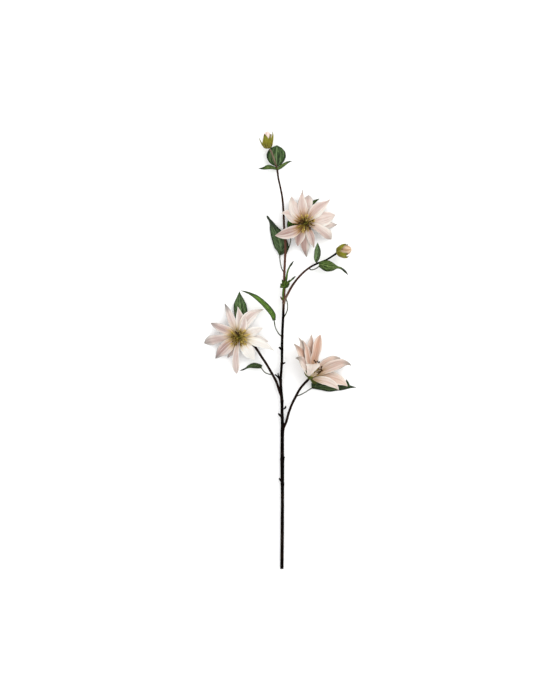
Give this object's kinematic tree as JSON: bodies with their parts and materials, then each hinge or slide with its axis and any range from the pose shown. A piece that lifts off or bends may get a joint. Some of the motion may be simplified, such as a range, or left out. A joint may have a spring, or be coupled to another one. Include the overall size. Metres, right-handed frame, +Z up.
{
  "type": "clematis flower",
  "caption": "Cut clematis spray lying on its side: slender woody stem with open star-shaped pale blush blooms, olive stamens, closed buds and dark green leaves.",
  "frame": {"origin": "centre of the footprint, at the surface the spray lies on", "axes": "+Y from the cut end of the stem towards the top bud, +Z up from the surface, +X towards the side bud"},
  "size_m": [0.2906, 0.8278, 0.0567],
  "materials": {
    "stem_bark": "smooth thin bark, satin",
    "petal": "soft matt petal, slightly translucent",
    "stamens": "matt, fibrous",
    "bud_petal": "soft matt petal",
    "calyx": "matt, faintly ribbed",
    "leaf": "satin leaf with fine veins",
    "young_leaf": "satin leaf with fine veins"
  },
  "bodies": {
    "root": {"main_stem": "stem_bark", "bud_branch": "stem_bark", "upper_flower_stalk": "stem_bark", "upper_flower_stamens": "stamens", "left_flower_stalk": "stem_bark", "left_flower_stamens": "stamens", "right_flower_stalk": "stem_bark", "right_flower_stamens": "stamens", "upper_flower_petal_01": "petal", "upper_flower_petal_02": "petal", "upper_flower_petal_03": "petal", "upper_flower_petal_04": "petal", "upper_flower_petal_05": "petal", "upper_flower_petal_06": "petal", "upper_flower_petal_07": "petal", "upper_flower_petal_08": "petal", "upper_flower_petal_09": "petal", "upper_flower_petal_10": "petal", "upper_flower_petal_11": "petal", "upper_flower_petal_12": "petal", "left_flower_petal_01": "petal", "left_flower_petal_02": "petal", "left_flower_petal_03": "petal", "left_flower_petal_04": "petal", "left_flower_petal_05": "petal", "left_flower_petal_06": "petal", "left_flower_petal_07": "petal", "left_flower_petal_08": "petal", "left_flower_petal_09": "petal", "left_flower_petal_10": "petal", "left_flower_petal_11": "petal", "left_flower_petal_12": "petal", "left_flower_petal_13": "petal", "right_flower_petal_01": "petal", "right_flower_petal_02": "petal", "right_flower_petal_03": "petal", "right_flower_petal_04": "petal", "right_flower_petal_05": "petal", "right_flower_petal_06": "petal", "right_flower_petal_07": "petal", "right_flower_petal_08": "petal", "right_flower_petal_09": "petal", "right_flower_petal_10": "petal", "right_flower_petal_11": "petal", "top_bud_petals": "bud_petal", "top_bud_calyx": "calyx", "side_bud_petals": "bud_petal", "side_bud_calyx": "calyx", "round_leaf": "leaf", "top_leaf_left": "young_leaf", "top_leaf_right": "young_leaf", "upper_left_leaf": "leaf", "upper_hidden_leaf": "leaf", "branch_leaf_small": "leaf", "branch_leaf_large": "young_leaf", "long_leaf": "young_leaf", "left_hidden_leaf": "leaf", "left_small_leaf": "leaf", "right_leaf": "leaf", "young_shoot": "young_leaf"}
  },
  "joints": []
}
